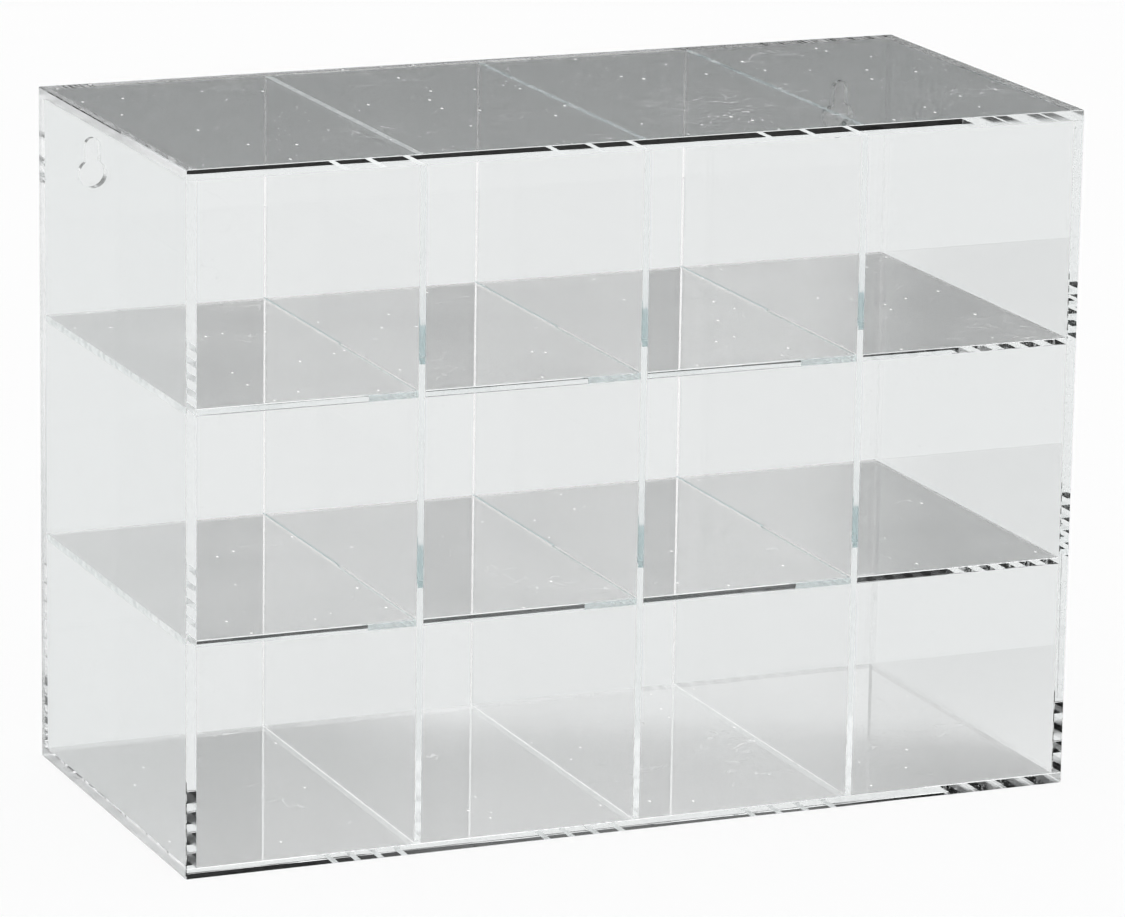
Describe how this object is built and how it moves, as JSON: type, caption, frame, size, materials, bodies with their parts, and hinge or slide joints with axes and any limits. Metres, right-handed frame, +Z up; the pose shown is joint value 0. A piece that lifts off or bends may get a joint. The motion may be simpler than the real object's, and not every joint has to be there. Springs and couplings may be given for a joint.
{
  "type": "safety glasses holder",
  "caption": "Open-fronted clear acrylic case divided into pigeonholes for folded safety glasses, with keyholes in the back for hanging.",
  "frame": {"origin": "middle of the underside, on the surface that the case stands on", "axes": "+X to the right as seen from the open front, +Y from the open front to the back panel, +Z up"},
  "size_m": [0.4128, 0.1938, 0.3048],
  "materials": {
    "outer_sheet": "clear colourless acrylic sheet, polished faces and cut edges",
    "inner_sheet": "clear colourless acrylic sheet, polished faces and cut edges"
  },
  "bodies": {
    "root": {"bottom_panel": "outer_sheet", "top_panel": "outer_sheet", "left_side": "outer_sheet", "right_side": "outer_sheet", "back_panel": "outer_sheet", "left_divider": "inner_sheet", "middle_divider": "inner_sheet", "right_divider": "inner_sheet", "lower_shelf": "inner_sheet", "upper_shelf": "inner_sheet"}
  },
  "joints": []
}
